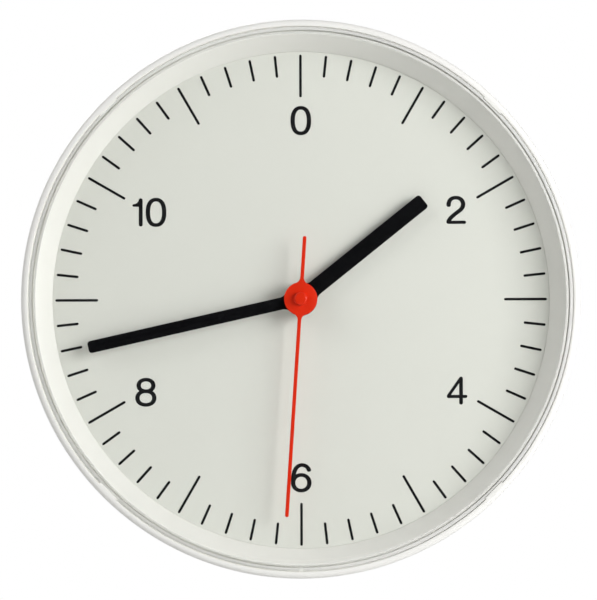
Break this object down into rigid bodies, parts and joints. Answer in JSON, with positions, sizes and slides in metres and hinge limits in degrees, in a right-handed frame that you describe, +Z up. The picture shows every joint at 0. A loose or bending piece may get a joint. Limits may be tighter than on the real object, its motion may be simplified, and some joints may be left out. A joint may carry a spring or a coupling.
{
  "type": "wall clock",
  "caption": "Round white wall clock with a clear snap-in lens, grey numbered dial, black hour and minute hands, a red second hand and a battery quartz movement.",
  "frame": {"origin": "on the hands' axis, in the plane of the wall that the rear rim touches", "axes": "+Z up to the twelve o'clock mark, +X to the three o'clock mark, the dial faces -Y and +Y points into the wall"},
  "size_m": [0.265, 0.042, 0.265],
  "materials": {
    "white_plastic": "satin moulded ABS",
    "clear_plastic": "polished clear moulding",
    "dial_sheet": "matt printed sheet",
    "black_paint": "semi-matt black paint on aluminium sheet",
    "red_paint": "semi-matt orange-red paint on aluminium sheet",
    "brass": "turned or stamped",
    "steel": "bright plated",
    "rubber": "matt",
    "black_plastic": "fine spark-eroded texture",
    "natural_plastic": "natural acetal",
    "red_plastic": "coloured acetal",
    "ferrite": "sintered",
    "copper_wire": "enamelled fine wire",
    "board_laminate": "solder mask",
    "epoxy": "moulded blob",
    "battery_can": "plated can",
    "battery_sleeve": "shrink sleeve"
  },
  "bodies": {
    "clock_case": {"case_body": "white_plastic", "lens": "clear_plastic", "dial": "dial_sheet", "stem_nut": "brass", "stem_washer": "steel", "movement_gasket": "rubber", "movement_base": "black_plastic", "movement_cover": "black_plastic", "train_plate": "brass", "stator": "steel", "coil_core": "steel", "coil_bobbin": "natural_plastic", "coil_winding": "copper_wire", "circuit_board": "board_laminate", "quartz_crystal": "steel", "circuit_chip": "epoxy", "contact_positive": "steel", "contact_negative": "steel", "hanger_plate": "steel", "hanger_screw_left": "steel", "hanger_screw_right": "steel"},
    "second_hand_group": {"seconds_wheel": "red_plastic", "second_hand_tube": "brass", "second_hand": "red_paint", "second_hand_cap": "red_paint"},
    "rotor": {"rotor_magnet": "ferrite", "rotor_pinion": "natural_plastic"},
    "intermediate": {"intermediate_wheel": "natural_plastic"},
    "third": {"third_wheel": "natural_plastic"},
    "centre": {"centre_wheel": "natural_plastic"},
    "minute_hand_group": {"cannon_pinion": "natural_plastic", "minute_hand": "black_paint"},
    "hour_washer": {"hour_wheel_washer": "steel"},
    "hour_hand_group": {"hour_wheel": "natural_plastic", "hour_hand": "black_paint"},
    "minute_pin": {"minute_wheel_pin": "steel"},
    "minute_gear": {"minute_wheel": "natural_plastic"},
    "setting_pin": {"set_pin": "steel"},
    "setting_knob": {"set_spindle": "natural_plastic", "set_knob": "red_plastic"},
    "battery": {"battery_cell": "battery_can", "battery_sleeve": "battery_sleeve"}
  },
  "joints": [
    {"name": "second_hand_spin", "type": "hinge", "parent": "clock_case", "child": "second_hand_group", "pos_m": [0, 0, 0], "axis": [0, 1, 0], "continuous": true},
    {"name": "rotor_spin", "type": "hinge", "parent": "clock_case", "child": "rotor", "pos_m": [-0.00891, 0, 0.00999], "axis": [0, 1, 0], "continuous": true},
    {"name": "intermediate_spin", "type": "hinge", "parent": "clock_case", "child": "intermediate", "pos_m": [-0.00141, 0, 0.00798], "axis": [0, 1, 0], "continuous": true},
    {"name": "third_wheel_spin", "type": "hinge", "parent": "clock_case", "child": "third", "pos_m": [0.00736, 0, 0.00268], "axis": [0, 1, 0], "continuous": true},
    {"name": "centre_wheel_spin", "type": "hinge", "parent": "clock_case", "child": "centre", "pos_m": [0, 0, 0], "axis": [0, 1, 0], "continuous": true},
    {"name": "hour_washer_spin", "type": "hinge", "parent": "clock_case", "child": "hour_washer", "pos_m": [0, 0, 0], "axis": [0, 1, 0], "continuous": true},
    {"name": "minute_pin_spin", "type": "hinge", "parent": "clock_case", "child": "minute_pin", "pos_m": [-0.00727, 0, 0.0042], "axis": [0, 1, 0], "continuous": true},
    {"name": "setting_pin_spin", "type": "hinge", "parent": "clock_case", "child": "setting_pin", "pos_m": [-0.01555, 0, 0.00566], "axis": [0, 1, 0], "continuous": true},
    {"name": "hand_setting", "type": "hinge", "parent": "centre", "child": "minute_hand_group", "pos_m": [0, 0, 0], "axis": [0, 1, 0], "continuous": true},
    {"name": "hour_hand_setting", "type": "hinge", "parent": "hour_washer", "child": "hour_hand_group", "pos_m": [0, 0, 0], "axis": [0, 1, 0], "continuous": true},
    {"name": "minute_gear_setting", "type": "hinge", "parent": "minute_pin", "child": "minute_gear", "pos_m": [-0.00727, 0, 0.0042], "axis": [0, 1, 0], "continuous": true},
    {"name": "setting_knob_turn", "type": "hinge", "parent": "setting_pin", "child": "setting_knob", "pos_m": [-0.01555, 0, 0.00566], "axis": [0, 1, 0], "continuous": true},
    {"name": "battery_slide", "type": "slide", "parent": "clock_case", "child": "battery", "axis": [0, 1, 0], "range_m": [0, 0.02]}
  ],
  "couplings": [
    {"joint": "rotor_spin", "follows": "second_hand_spin", "ratio": 30},
    {"joint": "intermediate_spin", "follows": "second_hand_spin", "ratio": -5},
    {"joint": "third_wheel_spin", "follows": "second_hand_spin", "ratio": -0.13333},
    {"joint": "centre_wheel_spin", "follows": "second_hand_spin", "ratio": 0.016667},
    {"joint": "hour_washer_spin", "follows": "second_hand_spin", "ratio": 0.0013889},
    {"joint": "minute_pin_spin", "follows": "second_hand_spin", "ratio": -0.0055556},
    {"joint": "setting_pin_spin", "follows": "second_hand_spin", "ratio": 0.016667},
    {"joint": "hour_hand_setting", "follows": "hand_setting", "ratio": 0.083333},
    {"joint": "minute_gear_setting", "follows": "hand_setting", "ratio": -0.33333},
    {"joint": "setting_knob_turn", "follows": "hand_setting", "ratio": 1}
  ]
}
